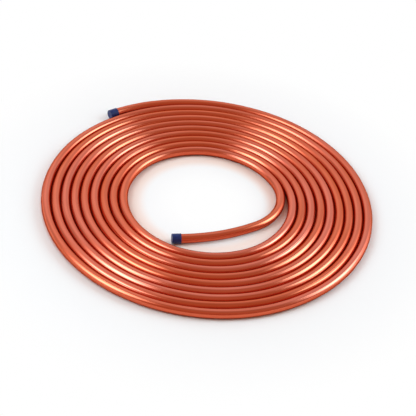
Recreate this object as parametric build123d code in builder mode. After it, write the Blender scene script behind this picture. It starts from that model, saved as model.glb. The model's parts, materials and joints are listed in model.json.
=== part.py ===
"""A flat coil of soft copper tube with a plastic cap on each end.

The tube is one long hollow piece: a ring section carried along tangent bends, so every stretch
of it is a turned length. Half turns about two centres, half a pitch apart, make a spiral whose
turns lie a constant pitch apart. Millimetres, +Z up. The origin is the middle of the spiral, on
the floor that the coil lies on.
"""
import os
from math import asin, cos, degrees, radians, sin, sqrt

from build123d import *

# Tube
tube_diameter = 19.05
tube_wall = 0.889

# Spiral
eye_radius = 155.5  # clear radius inside the innermost half turn
turn_gap = 0.75  # air between neighbouring turns
full_half_turns = 17  # half turns between the first bend and the last
join_angle = 132.0  # plan angle of the line on which the half turns meet
last_bend_angle = 105.0  # part of a half turn that is left before the tube enters the eye

# Outer end, which stands a little off the turn beside it
parting_angle = 62.0  # plan angle where it leaves the spiral
outer_end_slack = 5.0  # how much wider its bend is than the first bend
outer_end_angle = 66.2

# Inner end, which enters the eye in a tight bend and a slack one
eye_bend_radius = 114.0
eye_bend_angle = 80.0
inner_end_angle = 25.2
inner_end_gap = 18.0  # air between the inner cap and the turn beside it

# Caps
cap_depth = 17.0  # length of tube inside a cap
cap_wall = 1.0
cap_end_wall = 1.6
cap_taper = 0.2  # how much thinner the wall is at the closed end
cap_lip_height = 0.25
cap_lip_width = 2.0
cap_end_round = 1.2
cap_clearance = 0.05  # around the tube and past its end

tube_radius = tube_diameter / 2
bore_radius = tube_radius - tube_wall
pitch = tube_diameter + turn_gap
last_bend_radius = eye_radius + tube_radius
first_bend_radius = last_bend_radius + (full_half_turns + 1) * pitch / 2
cap_bore_radius = tube_radius + cap_clearance
cap_radius = cap_bore_radius + cap_wall
cap_lip_radius = cap_radius + cap_lip_height
cap_floor = cap_depth + cap_clearance
cap_length = cap_floor + cap_end_wall
# each end of the tube rises by this much, so that its thicker cap lies on the floor too
end_lift = cap_lip_radius - tube_radius


def turned(section: Plane, about: Vector, angle: float) -> Plane:
    """A section plane turned on the spot."""
    axis = Axis((0, 0, 0), about)
    return Plane(section.origin, section.x_dir.rotate(axis, angle), section.z_dir.rotate(axis, angle))


def after_bend(section: Plane, radius: float, angle: float) -> Plane:
    """The section plane at the far end of a bend. The z of a section is the way of travel, and
    its x points to the centre of the bend."""
    far = turned(section, section.y_dir, angle)
    far.origin = section.origin + (section.x_dir - far.x_dir) * radius
    return far


def tilt_for_lift(radius: float, angle: float) -> float:
    """How far a bend leans out of the flat for its far end to rise by the end lift."""
    return degrees(asin(end_lift / (radius * (1 - cos(radians(angle))))))


def bend_centre(section: Plane, radius: float, angle: float) -> Vector:
    """The centre of a bend that starts at that section."""
    return section.origin + section.x_dir * radius


def radius_to_reach(section: Plane, angle: float, centre: Vector, distance: float) -> float:
    """The radius of a bend whose far end lies at a distance from a centre in its plane."""
    chord = turned(section, section.y_dir, angle / 2).z_dir
    offset = section.origin - centre
    along = offset.dot(chord)
    chord_length = sqrt(along**2 - offset.length**2 + distance**2) - along
    return chord_length / (2 * sin(radians(angle / 2)))


# The place where the outer end leaves the first bend of the spiral
join_line = Vector(1, 0, 0).rotate(Axis.Z, join_angle)
first_centre = Vector(0, 0, tube_radius) + join_line * (pitch / 4)
parting_line = Vector(1, 0, 0).rotate(Axis.Z, parting_angle)
parting = Plane(
    origin=first_centre + parting_line * first_bend_radius,
    x_dir=-parting_line,
    z_dir=parting_line.rotate(Axis.Z, -90),
)

# Bends from there inward: spiral, then the inner end
bends = [(parting, first_bend_radius, 180 - (join_angle - parting_angle))]
for half_turn in range(1, full_half_turns + 1):
    bends.append((after_bend(*bends[-1]), first_bend_radius - half_turn * pitch / 2, 180))
turn_beside_end = bends[-1]
bends.append((after_bend(*bends[-1]), last_bend_radius, last_bend_angle))
bends.append((after_bend(*bends[-1]), eye_bend_radius, eye_bend_angle))
inner_end = after_bend(*bends[-1])
inner_end_reach = turn_beside_end[1] - (tube_radius + inner_end_gap + cap_lip_radius)
inner_end_radius = radius_to_reach(inner_end, inner_end_angle, bend_centre(*turn_beside_end), inner_end_reach)
inner_end = turned(inner_end, inner_end.z_dir, -tilt_for_lift(inner_end_radius, inner_end_angle))
bends.append((inner_end, inner_end_radius, inner_end_angle))
inner_mouth = after_bend(*bends[-1])

# The bend from there outward
outer_end_radius = first_bend_radius + outer_end_slack
outer_end = Plane(parting.origin, x_dir=parting.x_dir, z_dir=-parting.z_dir)
outer_end = turned(outer_end, outer_end.z_dir, tilt_for_lift(outer_end_radius, outer_end_angle))
bends.insert(0, (outer_end, outer_end_radius, outer_end_angle))
outer_mouth = after_bend(*bends[0])

# Copper tube, with a short straight length inside each cap
with BuildPart() as copper_tube:
    with BuildLine() as route:
        for mouth in (outer_mouth, inner_mouth):
            Line(mouth.origin, mouth.origin + mouth.z_dir * cap_depth)
        for section, radius, angle in bends:
            halfway = after_bend(section, radius, angle / 2)
            far = after_bend(section, radius, angle)
            ThreePointArc(section.origin, halfway.origin, far.origin)
    path = route.wires()[0]
    with BuildSketch(Plane(origin=path @ 0, z_dir=path % 0)) as ring:
        Circle(tube_radius)
        Circle(bore_radius, mode=Mode.SUBTRACT)
    sweep(path=path)


def make_cap(mouth: Plane) -> Part:
    """A push-on cup with a lip at its mouth, a slight taper and a rounded closed end."""
    axis = Axis(mouth.origin, mouth.z_dir)
    with BuildPart() as cap:
        with BuildSketch(Plane(mouth.origin, x_dir=mouth.x_dir, z_dir=-mouth.y_dir)):
            with BuildLine():
                Polyline(
                    (cap_bore_radius, 0),
                    (cap_lip_radius, 0),
                    (cap_lip_radius, cap_lip_width),
                    (cap_radius, cap_lip_width + cap_lip_height),
                    (cap_radius - cap_taper, cap_length),
                    (0, cap_length),
                    (0, cap_floor),
                    (cap_bore_radius, cap_floor),
                    close=True,
                )
            make_face()
        revolve(axis=axis)
        closed_face = cap.faces().sort_by(axis)[-1]
        fillet(closed_face.edges(), cap_end_round)
    return cap.part


with BuildPart() as outer_end_cap:
    add(make_cap(outer_mouth))

with BuildPart() as inner_end_cap:
    add(make_cap(inner_mouth))

copper_tube.part.label = "copper_tube"
outer_end_cap.part.label = "outer_end_cap"
inner_end_cap.part.label = "inner_end_cap"

os.makedirs("parts", exist_ok=True)
export_step(copper_tube.part, "parts/copper_tube.step")
export_step(outer_end_cap.part, "parts/outer_end_cap.step")
export_step(inner_end_cap.part, "parts/inner_end_cap.step")

print("inner end radius, mm:", round(inner_end_radius, 2))
print("tube length, mm:", round(path.length, 1))
print("volume over section times length:", copper_tube.part.volume / (ring.sketch.area * path.length))
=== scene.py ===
"""A flat coil of soft copper tube on a white floor, in soft studio light.

The tube's skin is swept along the same bends as the solid, so that every point of it knows how
far along the tube it lies and where around it: the drawing marks and the tarnish follow the metal
as they do on a real tube. Metres and degrees, +Z up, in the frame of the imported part.
"""
import json
from math import asin, ceil, cos, degrees, pi, radians, sin
from typing import NamedTuple

import bpy
import numpy as np
from mathutils import Matrix, Vector, noise


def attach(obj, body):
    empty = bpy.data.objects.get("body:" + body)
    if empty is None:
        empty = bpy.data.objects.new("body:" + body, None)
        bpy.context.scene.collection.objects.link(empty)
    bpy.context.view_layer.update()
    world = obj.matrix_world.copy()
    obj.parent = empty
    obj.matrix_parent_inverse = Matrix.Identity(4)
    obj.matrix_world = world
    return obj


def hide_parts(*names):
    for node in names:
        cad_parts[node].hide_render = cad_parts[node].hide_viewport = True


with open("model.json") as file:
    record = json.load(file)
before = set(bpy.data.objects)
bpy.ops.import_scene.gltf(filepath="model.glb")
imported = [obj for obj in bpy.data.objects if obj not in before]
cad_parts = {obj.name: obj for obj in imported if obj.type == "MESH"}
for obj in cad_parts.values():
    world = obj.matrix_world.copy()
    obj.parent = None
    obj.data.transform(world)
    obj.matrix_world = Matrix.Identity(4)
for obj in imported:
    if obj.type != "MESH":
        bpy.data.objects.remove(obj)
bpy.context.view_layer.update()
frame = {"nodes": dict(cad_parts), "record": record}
mounts = {mount["name"]: mount for mount in frame["record"]["mounts"]}
MM = 0.001

# Tube and winding, as in the solid
tube_radius = mounts["outer_tube_end"]["dims"]["r_mm"] * MM
tube_wall = 0.889 * MM
cap_depth = mounts["outer_tube_end"]["dims"]["length_mm"] * MM
eye_radius = mounts["coil_eye"]["dims"]["r_mm"] * MM
turn_gap = 0.75 * MM
full_half_turns = 17
join_angle = 132.0
last_bend_angle = 105.0
parting_angle = 62.0
outer_end_slack = 5.0 * MM
outer_end_angle = 66.2
eye_bend_radius = 114.0 * MM
eye_bend_angle = 80.0
inner_end_angle = 25.2
inner_end_radius = 381.4 * MM  # the solid works it out from the gap beside the inner cap
end_lift = mounts["outer_tube_end"]["pos_m"][2] - tube_radius

pitch = 2 * tube_radius + turn_gap
last_bend_radius = eye_radius + tube_radius
first_bend_radius = last_bend_radius + (full_half_turns + 1) * pitch / 2

# Skin of the tube
station_step = 7.5 * MM  # along the tube, from one ring of points to the next
points_around = 32
ring_angles = 2 * pi * np.arange(points_around) / points_around  # from the lowest point
bore_every = 3  # the bore has a ring at every third station
sharp_edge = 50.0  # a sharper corner than this shows as an edge

# Slow drift of the turns, as hand winding leaves it
wander_in = 0.45 * MM  # how far a turn may lie nearer to the eye than its true line
wander_up = 0.35 * MM  # how far it may lie off the floor
wander_length = 90 * MM
wander_swing = 0.8  # how far the drift swings to each side of its middle
wander_fade = 60 * MM  # the ends keep their true place over this length
inward_seed = 1.5
upward_seed = 7.5

# Marks on the tube: how often each kind repeats per metre, along the tube and around it, and how
# soft its edges are
scratches = ((14.0, 1900.0, 1900.0), 0.35)
die_streaks = ((2.0, 250.0, 250.0), 0.3)
tarnish_clouds = ((9.0, 60.0, 60.0), 0.25)
tone_changes = ((1.6, 14.0, 14.0), 0.16)
mark_detail = 3.0
mark_roughness = 0.55
noise_middle = 0.5
scratch_relief = (0.25, 0.02 * MM)  # strength and depth
streak_relief = (0.8, 0.42 * MM)

# Copper, which goes from an orange to a pink tone, and from dull to bright
dull_orange = (0.77, 0.168, 0.080)
dull_pink = (0.80, 0.212, 0.136)
bright_orange = (0.86, 0.206, 0.108)
bright_pink = (0.89, 0.250, 0.168)
# painted shade: darker copper on the sides, down in the grooves between the turns
shaded_side_copper = (0.70, 0.132, 0.064)
painted_underside_shade = (0.38, 0.052, 0.024)  # painted shade on the underside, where the floor beneath the tube lies in shadow
edge_tint = (0.35, 0.22, 0.18, 1.0)
dull_roughness = 0.13
bright_roughness = 0.08
rubbed_roughness = 0.38
dull_shaded_side_zone = (0.68 * tube_radius, 0.97 * tube_radius)  # sideways: where the duller finish and the painted shade of the sides start, and where they are full
underside_shade_zone = (-0.15 * tube_radius, -0.6 * tube_radius)  # the same, upward from the tube's middle, for the painted shade on the underside

# Cap plastic
cap_grain = ((2600.0, 2600.0, 2600.0), 0.3)
cap_handling = ((160.0, 160.0, 160.0), 0.2)
cap_grain_relief = (0.35, 0.03 * MM)
dark_blue = (0.011, 0.022, 0.103)
worn_blue = (0.018, 0.034, 0.146)
cap_roughness = (0.28, 0.4)  # dark, and worn
cap_shine = 0.25

# Floor
floor_paint = (0.99, 0.99, 0.99)
copper_glow = (1.0, 0.85, 0.78)  # the paint in the light that the tube throws on it
copper_shade = (0.80, 0.17, 0.08)  # the same under the turns
floor_radius = 30.0
wall_height = 5.3
wall_sides = 96

# Rings on the floor: how far from the coil's middle each starts, and where it is full
clear_outside = (0.36, 0.56)  # free of the coil's shadow
clear_eye = (0.150, 0.05)  # the same in the eye, inward
glow_ring = (0.120, 0.145)
inner_turn_ring = (0.165, 0.181)  # under the turns, from the inside
outer_turn_ring = (0.345, 0.330)  # the same from the outside, inward

# Light of the room, from in front of the coil to behind it
room_front = (0.465, 0.20, 0.095, 1.0)
room_middle = (0.445, 0.287, 0.205, 1.0)
room_back = (0.84, 0.86, 0.95, 1.0)

# Soft lamps: azimuth, elevation, width, height, brightness and colour
cool_light = (0.70, 1.18, 1.35)
warm_light = (1.14, 1.02, 1.04)
plain_light = (1.06, 1.0, 1.0)
softboxes = {
    "left panel": (-112, 40, 5.0, 5.2, 0.66, warm_light),
    "left lamp": (-114, 44, 3.4, 3.4, 3.4, cool_light),
    "high panel": (-80, 58, 4.0, 3.8, 0.38, plain_light),
    "right panel": (72, 26, 4.6, 4.6, 0.78, warm_light),
    "right lamp": (79, 36, 3.2, 3.3, 3.4, cool_light),
    "back panel": (-32, 38, 4.4, 3.4, 0.2, plain_light),
}
lamp_distance = 3.5
lamp_middle = (0.5, 0.5, 0.0)  # as a part of its width and height
lamp_fade = (0.5, 0.1)  # the same from its middle: where its light starts, and where it is full

# Camera, with its lens and sensor in millimetres
camera_place = Vector((0.0, -2.0424, 1.6582))
camera_yaw = 0.183
camera_pitch = 39.262
camera_roll = 6.617
camera_lens = 109.11
camera_sensor = 36.0


# Winding

class Section(NamedTuple):
    """A place on the tube's centre line: the way to the centre of its bend, and the way of travel."""
    origin: Vector
    inward: Vector
    ahead: Vector


def turned(section, about, angle):
    """The section turned on the spot."""
    turn = Matrix.Rotation(radians(angle), 3, about)
    return Section(section.origin, turn @ section.inward, turn @ section.ahead)


def after_bend(section, radius, angle):
    """The section at the far end of a bend."""
    far = turned(section, section.ahead.cross(section.inward), angle)
    origin = section.origin + (section.inward - far.inward) * radius
    return Section(origin, far.inward, far.ahead)


def tilt_for_lift(radius, angle):
    """How far a bend leans out of the flat for its far end to rise by the end lift."""
    return degrees(asin(end_lift / (radius * (1 - cos(radians(angle))))))


def stations_of_bend(section, radius, angle):
    """Sections along a bend, without the last one."""
    count = ceil(radians(angle) * radius / station_step)
    return [after_bend(section, radius, angle * i / count) for i in range(count)]


def stations_of_end(mouth):
    """Sections along the straight end inside a cap, from the cap's mouth on."""
    count = ceil(cap_depth / station_step)
    steps = [mouth.origin + mouth.ahead * (cap_depth * i / count) for i in range(count + 1)]
    return [Section(origin, mouth.inward, mouth.ahead) for origin in steps]


def wind_tube():
    """Sections from the outer end of the tube to the inner one. Half turns about two centres, half
    a pitch apart, make the spiral."""
    join_line = Matrix.Rotation(radians(join_angle), 3, "Z") @ Vector((1, 0, 0))
    parting_line = Matrix.Rotation(radians(parting_angle), 3, "Z") @ Vector((1, 0, 0))
    first_centre = Vector((0, 0, tube_radius)) + join_line * (pitch / 4)
    parting = Section(
        first_centre + parting_line * first_bend_radius,
        -parting_line,
        Matrix.Rotation(radians(-90), 3, "Z") @ parting_line,
    )

    outer_end_radius = first_bend_radius + outer_end_slack
    outward = Section(parting.origin, parting.inward, -parting.ahead)
    outward = turned(outward, outward.ahead, tilt_for_lift(outer_end_radius, outer_end_angle))
    outer_mouth = after_bend(outward, outer_end_radius, outer_end_angle)
    stations = stations_of_bend(outward, outer_end_radius, outer_end_angle)
    stations = (stations + stations_of_end(outer_mouth))[:0:-1]

    section = parting
    bends = [(first_bend_radius, 180 - (join_angle - parting_angle))]
    for half_turn in range(1, full_half_turns + 1):
        bends.append((first_bend_radius - half_turn * pitch / 2, 180))
    bends.append((last_bend_radius, last_bend_angle))
    bends.append((eye_bend_radius, eye_bend_angle))
    for radius, angle in bends:
        stations += stations_of_bend(section, radius, angle)
        section = after_bend(section, radius, angle)
    section = turned(section, section.ahead, -tilt_for_lift(inner_end_radius, inner_end_angle))
    stations += stations_of_bend(section, inner_end_radius, inner_end_angle)
    return stations + stations_of_end(after_bend(section, inner_end_radius, inner_end_angle))


# Tube

def tube_line():
    """Centre points, the ways inward and up, and the distance along, for each station."""
    stations = wind_tube()
    centres = np.array([section.origin for section in stations])
    inward = np.array([section.inward for section in stations])
    ahead = np.gradient(centres, axis=0)
    up = np.cross(inward, ahead)
    up /= np.linalg.norm(up, axis=1)[:, None]
    steps = np.linalg.norm(np.diff(centres, axis=0), axis=1)
    along = np.concatenate([[0.0], np.cumsum(steps)])
    return centres, inward, up, along


def wander(along, seed):
    """A slow random drift from 0 to 1 along the tube, which fades to 0 at both ends."""
    drift = np.array([noise.noise(Vector((s / wander_length, seed, 0.0))) for s in along])
    fade = np.minimum(along, along[-1] - along) - cap_depth
    fade = np.clip(fade / wander_fade, 0, 1)
    return np.clip(0.5 + wander_swing * drift, 0, 1) * fade * fade * (3 - 2 * fade)


def tube_rings(centres, inward, up, radius):
    """Points of the rings of a skin, station by station, each from its lowest point round."""
    upward = -np.cos(ring_angles)[None, :, None] * up[:, None, :]
    sideways = np.sin(ring_angles)[None, :, None] * inward[:, None, :]
    return centres[:, None, :] + radius * (upward + sideways)


def skin_faces(ring_count, first, flipped):
    """Quads between the rings of one skin. First is the number of its first point."""
    rows = first + np.arange(ring_count - 1)[:, None] * points_around
    here = np.arange(points_around)[None, :]
    onward = (here + 1) % points_around
    next_rows = rows + points_around
    quads = np.stack([rows + here, rows + onward, next_rows + onward, next_rows + here], 2)
    quads = quads.reshape(-1, 4)
    return quads[:, ::-1] if flipped else quads


def rim_faces(outer_first, inner_first, flipped):
    """Quads that close the tube's wall at one of its ends."""
    here = np.arange(points_around)
    onward = (here + 1) % points_around
    corners = [outer_first + here, inner_first + here, inner_first + onward, outer_first + onward]
    quads = np.stack(corners, 1)
    return quads[:, ::-1] if flipped else quads


def tube_walls(centres, inward, up, bored):
    """Points and faces of one closed skin: outside, bore and the two cut ends. Bored are the
    stations at which the bore has a ring."""
    outer = tube_rings(centres, inward, up, tube_radius)
    inner = tube_rings(centres[bored], inward[bored], up[bored], tube_radius - tube_wall)
    points = np.concatenate([outer, inner]).reshape(-1, 3)
    bore_first = len(outer) * points_around
    faces = np.concatenate([
        skin_faces(len(outer), 0, False),
        skin_faces(len(inner), bore_first, True),
        rim_faces(0, bore_first, False),
        rim_faces(bore_first - points_around, len(points) - points_around, True),
    ])
    return points, faces


def note_places(mesh, distances):
    """Notes for each point of the rings how far along the tube it lies, and how far sideways and
    up from the tube's middle, so that marks can follow the metal."""
    along = np.repeat(distances, points_around)
    sideways = np.tile(tube_radius * np.sin(ring_angles), len(distances))
    upward = np.tile(-tube_radius * np.cos(ring_angles), len(distances))
    places = np.stack([along, sideways, upward], 1).astype(np.float32)
    mesh.attributes.new("on_the_tube", "FLOAT_VECTOR", "POINT").data.foreach_set("vector", places.ravel())


def build_tube(material):
    """The whole tube, in place of the solid one."""
    centres, inward, up, along = tube_line()
    centres = centres + inward * (wander_in * wander(along, inward_seed))[:, None]
    centres = centres + up * (wander_up * wander(along, upward_seed))[:, None]
    bored = np.unique(np.append(np.arange(0, len(along), bore_every), len(along) - 1))
    points, faces = tube_walls(centres, inward, up, bored)

    mesh = bpy.data.meshes.new("drawn_tube")
    mesh.from_pydata(points.tolist(), [], faces.tolist())
    note_places(mesh, np.concatenate([along, along[bored]]))
    mesh.shade_smooth()
    mesh.set_sharp_from_angle(angle=radians(sharp_edge))
    mesh.materials.append(material)
    mesh.update()

    tube = bpy.data.objects.new("drawn_tube", mesh)
    bpy.context.scene.collection.objects.link(tube)
    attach(tube, "root")
    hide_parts("copper_tube")


# Shared finishes

def node(tree, kind, **settings):
    """A new node, with its settings and the values of its inputs by name."""
    made = tree.nodes.new(kind)
    for name, value in settings.items():
        if name in made.inputs.keys():
            made.inputs[name].default_value = value
        else:
            setattr(made, name, value)
    return made


def uneven_group():
    """Noise that is stretched along a way: a mask, for marks, grain and cloudy tarnish."""
    group = bpy.data.node_groups.new("stretched marks", "ShaderNodeTree")
    for name, kind in (
        ("Place", "NodeSocketVector"),
        ("Stretch", "NodeSocketVector"),
        ("Softness", "NodeSocketFloat"),
    ):
        group.interface.new_socket(name, in_out="INPUT", socket_type=kind)
    group.interface.new_socket("Mask", in_out="OUTPUT", socket_type="NodeSocketFloat")
    given = group.nodes.new("NodeGroupInput")
    result = group.nodes.new("NodeGroupOutput")
    scaled = node(group, "ShaderNodeVectorMath", operation="MULTIPLY")
    pattern = node(group, "ShaderNodeTexNoise", Scale=1.0, Detail=mark_detail, Roughness=mark_roughness)
    low = node(group, "ShaderNodeMath", operation="SUBTRACT")
    low.inputs[0].default_value = noise_middle
    high = node(group, "ShaderNodeMath", operation="ADD")
    high.inputs[0].default_value = noise_middle
    spread = node(group, "ShaderNodeMapRange", interpolation_type="SMOOTHSTEP")
    group.links.new(given.outputs["Place"], scaled.inputs[0])
    group.links.new(given.outputs["Stretch"], scaled.inputs[1])
    group.links.new(scaled.outputs["Vector"], pattern.inputs["Vector"])
    group.links.new(given.outputs["Softness"], low.inputs[1])
    group.links.new(given.outputs["Softness"], high.inputs[1])
    group.links.new(pattern.outputs["Fac"], spread.inputs["Value"])
    group.links.new(low.outputs["Value"], spread.inputs["From Min"])
    group.links.new(high.outputs["Value"], spread.inputs["From Max"])
    group.links.new(spread.outputs["Result"], result.inputs["Mask"])
    return group


stretched_marks = uneven_group()


def marks(tree, place, stretch, softness):
    """The mask of a set of marks, placed in a material."""
    made = tree.nodes.new("ShaderNodeGroup")
    made.node_tree = stretched_marks
    made.inputs["Stretch"].default_value = stretch
    made.inputs["Softness"].default_value = softness
    tree.links.new(place, made.inputs["Place"])
    return made.outputs["Mask"]


def relief(tree, height, strength, depth, over=None):
    """The surface's normal with a mask as its relief, over another relief where there is one."""
    made = node(tree, "ShaderNodeBump", Strength=strength, Distance=depth)
    tree.links.new(height, made.inputs["Height"])
    if over is not None:
        tree.links.new(over, made.inputs["Normal"])
    return made.outputs["Normal"]


def zone(tree, value, start, full):
    """A soft-edged mask that begins at one value and is full at another."""
    made = node(tree, "ShaderNodeMapRange", interpolation_type="SMOOTHSTEP")
    made.inputs["From Min"].default_value = start
    made.inputs["From Max"].default_value = full
    tree.links.new(value, made.inputs["Value"])
    return made.outputs["Result"]


def product(tree, first, second):
    """Two masks multiplied."""
    made = node(tree, "ShaderNodeMath", operation="MULTIPLY")
    tree.links.new(first, made.inputs[0])
    tree.links.new(second, made.inputs[1])
    return made.outputs["Value"]


def set_or_link(tree, socket, value):
    """Gives a colour or number to an input: another node's output, or a plain value."""
    if isinstance(value, bpy.types.NodeSocket):
        tree.links.new(value, socket)
    elif isinstance(value, tuple):
        socket.default_value = (*value, 1.0)
    else:
        socket.default_value = value


def between(tree, mask, low, high):
    """A number that goes from low to high with a mask."""
    made = node(tree, "ShaderNodeMapRange")
    set_or_link(tree, made.inputs["To Min"], low)
    set_or_link(tree, made.inputs["To Max"], high)
    tree.links.new(mask, made.inputs["Value"])
    return made.outputs["Result"]


def colour_between(tree, mask, low, high):
    """A colour that goes from low to high with a mask."""
    made = node(tree, "ShaderNodeMix", data_type="RGBA")
    tree.links.new(mask, made.inputs["Factor"])
    ends = [socket for socket in made.inputs if socket.type == "RGBA"]
    set_or_link(tree, ends[0], low)
    set_or_link(tree, ends[1], high)
    return [socket for socket in made.outputs if socket.type == "RGBA"][0]


def new_material(name):
    """An empty material with its output node."""
    material = bpy.data.materials.new(name)
    material.use_nodes = True
    material.node_tree.nodes.clear()
    output = material.node_tree.nodes.new("ShaderNodeOutputMaterial")
    return material, material.node_tree, output


# Copper

def side_and_underside_masks(tree, on_tube):
    """Masks of the two sides of the tube, duller where neighbouring turns rub and with painted shade in
    the grooves between them, and of its underside, with painted shade.
    """
    parts = tree.nodes.new("ShaderNodeSeparateXYZ")
    sideways = node(tree, "ShaderNodeMath", operation="ABSOLUTE")
    tree.links.new(on_tube, parts.inputs["Vector"])
    tree.links.new(parts.outputs["Y"], sideways.inputs[0])
    dull_shaded_sides = zone(tree, sideways.outputs["Value"], *dull_shaded_side_zone)
    shaded_underside = zone(tree, parts.outputs["Z"], *underside_shade_zone)
    return dull_shaded_sides, shaded_underside


def drawn_copper():
    """Bright drawn copper: an orange to pink tone that changes slowly from turn to turn, cloudy
    tarnish, streaks and fine scratches along the tube, duller sides where the turns rub with painted
    shade in the grooves between them, and painted shade on the underside."""
    material, tree, output = new_material("drawn copper")
    on_tube = node(tree, "ShaderNodeAttribute", attribute_name="on_the_tube").outputs["Vector"]
    tarnish = marks(tree, on_tube, *tarnish_clouds)
    tone = marks(tree, on_tube, *tone_changes)
    dull_shaded_sides, shaded_underside = side_and_underside_masks(tree, on_tube)

    dull = colour_between(tree, tone, dull_orange, dull_pink)
    bright = colour_between(tree, tone, bright_orange, bright_pink)
    colour = colour_between(tree, tarnish, dull, bright)
    # painted shade: the sides go darker, in the grooves between the turns
    colour = colour_between(tree, dull_shaded_sides, colour, shaded_side_copper)
    # painted shade: the copper darkens on the underside, over the shadowed floor
    colour = colour_between(tree, shaded_underside, colour, painted_underside_shade)
    roughness = between(tree, tarnish, dull_roughness, bright_roughness)
    roughness = between(tree, dull_shaded_sides, roughness, rubbed_roughness)
    streaks = relief(tree, marks(tree, on_tube, *die_streaks), *streak_relief)
    surface = relief(tree, marks(tree, on_tube, *scratches), *scratch_relief, over=streaks)

    metal = node(tree, "ShaderNodeBsdfPrincipled", Metallic=1.0)
    metal.inputs["Specular Tint"].default_value = edge_tint
    tree.links.new(colour, metal.inputs["Base Color"])
    tree.links.new(roughness, metal.inputs["Roughness"])
    tree.links.new(surface, metal.inputs["Normal"])
    tree.links.new(metal.outputs["BSDF"], output.inputs["Surface"])
    return material


# Caps

def moulded_plastic():
    """Dark blue moulded plastic with a fine satin grain, a little worn by handling."""
    material, tree, output = new_material("dark blue plastic")
    place = node(tree, "ShaderNodeTexCoord").outputs["Object"]
    handling = marks(tree, place, *cap_handling)
    colour = colour_between(tree, handling, dark_blue, worn_blue)
    roughness = between(tree, handling, *cap_roughness)
    surface = relief(tree, marks(tree, place, *cap_grain), *cap_grain_relief)

    plastic = node(tree, "ShaderNodeBsdfPrincipled")
    plastic.inputs["Specular IOR Level"].default_value = cap_shine
    tree.links.new(colour, plastic.inputs["Base Color"])
    tree.links.new(roughness, plastic.inputs["Roughness"])
    tree.links.new(surface, plastic.inputs["Normal"])
    tree.links.new(plastic.outputs["BSDF"], output.inputs["Surface"])
    return material


def finish_caps(material):
    """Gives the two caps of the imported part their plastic."""
    for name in ("outer_end_cap", "inner_end_cap"):
        cap = frame["nodes"][name]
        cap.data.materials.clear()
        cap.data.materials.append(material)


# Studio

def white_floor():
    """White paint, warm at the edge of the eye and copper under the turns, where the tube throws
    its light on it. Away from the coil and its shadow, the camera and mirrors see it plain white."""
    material, tree, output = new_material("white floor")
    place = node(tree, "ShaderNodeTexCoord").outputs["Object"]
    length = node(tree, "ShaderNodeVectorMath", operation="LENGTH")
    tree.links.new(place, length.inputs[0])
    distance = length.outputs["Value"]

    within = zone(tree, distance, *outer_turn_ring)
    glow = product(tree, zone(tree, distance, *glow_ring), within)
    shade = product(tree, zone(tree, distance, *inner_turn_ring), within)
    colour = colour_between(tree, glow, floor_paint, copper_glow)
    colour = colour_between(tree, shade, colour, copper_shade)
    paint = tree.nodes.new("ShaderNodeBsdfDiffuse")
    tree.links.new(colour, paint.inputs["Color"])

    clear = node(tree, "ShaderNodeMath", operation="ADD")
    tree.links.new(zone(tree, distance, *clear_outside), clear.inputs[0])
    tree.links.new(zone(tree, distance, *clear_eye), clear.inputs[1])
    ray = tree.nodes.new("ShaderNodeLightPath")
    seen = node(tree, "ShaderNodeMath", operation="MAXIMUM")
    tree.links.new(ray.outputs["Is Camera Ray"], seen.inputs[0])
    tree.links.new(ray.outputs["Is Glossy Ray"], seen.inputs[1])
    plain_white = product(tree, clear.outputs["Value"], seen.outputs["Value"])
    white = node(tree, "ShaderNodeEmission", Strength=1.0)
    choice = tree.nodes.new("ShaderNodeMixShader")
    tree.links.new(plain_white, choice.inputs["Fac"])
    tree.links.new(paint.outputs["BSDF"], choice.inputs[1])
    tree.links.new(white.outputs["Emission"], choice.inputs[2])
    tree.links.new(choice.outputs["Shader"], output.inputs["Surface"])
    return material


def build_floor():
    """A wide round floor with a low wall far away, which hides the room from a low camera."""
    around = [2 * pi * i / wall_sides for i in range(wall_sides)]
    rim = [(floor_radius * cos(angle), floor_radius * sin(angle)) for angle in around]
    points = [(x, y, z) for z in (0.0, wall_height) for x, y in rim]
    faces = [tuple(range(wall_sides))]
    for i in range(wall_sides):
        onward = (i + 1) % wall_sides
        faces.append((i, onward, wall_sides + onward, wall_sides + i))
    mesh = bpy.data.meshes.new("floor")
    mesh.from_pydata(points, [], faces)
    mesh.materials.append(white_floor())
    floor = bpy.data.objects.new("floor", mesh)
    bpy.context.scene.collection.objects.link(floor)


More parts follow.
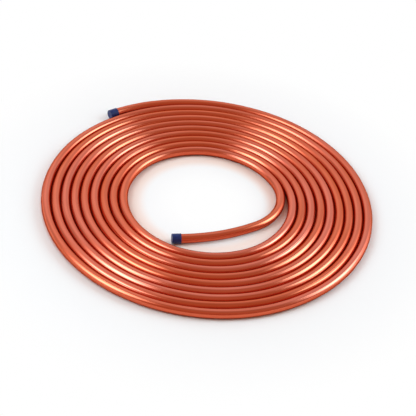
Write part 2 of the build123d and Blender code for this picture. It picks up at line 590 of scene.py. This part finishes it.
def build_world():
    """A pale room, warm and dim in front of the coil, and bright behind it."""
    world = bpy.data.worlds.new("studio room")
    world.use_nodes = True
    bpy.context.scene.world = world
    tree = world.node_tree
    tree.nodes.clear()
    output = tree.nodes.new("ShaderNodeOutputWorld")
    way = node(tree, "ShaderNodeTexCoord").outputs["Generated"]
    split = tree.nodes.new("ShaderNodeSeparateXYZ")
    depth = tree.nodes.new("ShaderNodeMapRange")
    depth.inputs["From Min"].default_value = -1.0
    room = tree.nodes.new("ShaderNodeValToRGB")
    stops = room.color_ramp.elements
    stops[0].color = room_front
    stops[1].color = room_back
    stops.new(0.5).color = room_middle
    light = tree.nodes.new("ShaderNodeBackground")
    tree.links.new(way, split.inputs["Vector"])
    tree.links.new(split.outputs["Y"], depth.inputs["Value"])
    tree.links.new(depth.outputs["Result"], room.inputs["Fac"])
    tree.links.new(room.outputs["Color"], light.inputs["Color"])
    tree.links.new(light.outputs["Background"], output.inputs["Surface"])


def direction(azimuth, elevation):
    """A unit vector. Azimuth goes from +Y towards +X."""
    turn = radians(azimuth)
    rise = radians(elevation)
    return Vector((sin(turn) * cos(rise), cos(turn) * cos(rise), sin(rise)))


def soften_edge(lamp):
    """Lets a lamp fade from its middle to its edge."""
    lamp.use_nodes = True
    tree = lamp.node_tree
    place = tree.nodes.new("ShaderNodeNewGeometry").outputs["Parametric"]
    from_middle = node(tree, "ShaderNodeVectorMath", operation="DISTANCE")
    from_middle.inputs[1].default_value = lamp_middle
    tree.links.new(place, from_middle.inputs[0])
    fade = zone(tree, from_middle.outputs["Value"], *lamp_fade)
    tree.links.new(fade, tree.nodes["Emission"].inputs["Strength"])


def build_softbox(name, azimuth, elevation, width, height, brightness, colour):
    """A soft lamp that faces the coil. Its brightness is the same whatever its size."""
    lamp = bpy.data.lights.new(name, "AREA")
    lamp.shape = "RECTANGLE"
    lamp.size = width
    lamp.size_y = height
    lamp.energy = brightness * pi * width * height
    lamp.color = colour
    soften_edge(lamp)
    made = bpy.data.objects.new(name, lamp)
    made.location = direction(azimuth, elevation) * lamp_distance
    made.rotation_euler = made.location.to_track_quat("Z", "Y").to_euler()
    bpy.context.scene.collection.objects.link(made)


def build_camera():
    """The camera, at the height and tilt that the coil is seen from."""
    lens = bpy.data.cameras.new("camera")
    lens.lens = camera_lens
    lens.sensor_width = camera_sensor
    camera = bpy.data.objects.new("camera", lens)
    turn = Matrix.Rotation(radians(-camera_yaw), 4, "Z")
    turn = turn @ Matrix.Rotation(radians(90 - camera_pitch), 4, "X")
    turn = turn @ Matrix.Rotation(radians(camera_roll), 4, "Z")
    camera.matrix_world = Matrix.Translation(camera_place) @ turn
    bpy.context.scene.collection.objects.link(camera)
    bpy.context.scene.camera = camera


build_camera()
build_floor()
build_world()
for name, lamp in softboxes.items():
    build_softbox(name, *lamp)
bpy.context.scene.view_settings.view_transform = "Standard"

build_tube(drawn_copper())
finish_caps(moulded_plastic())
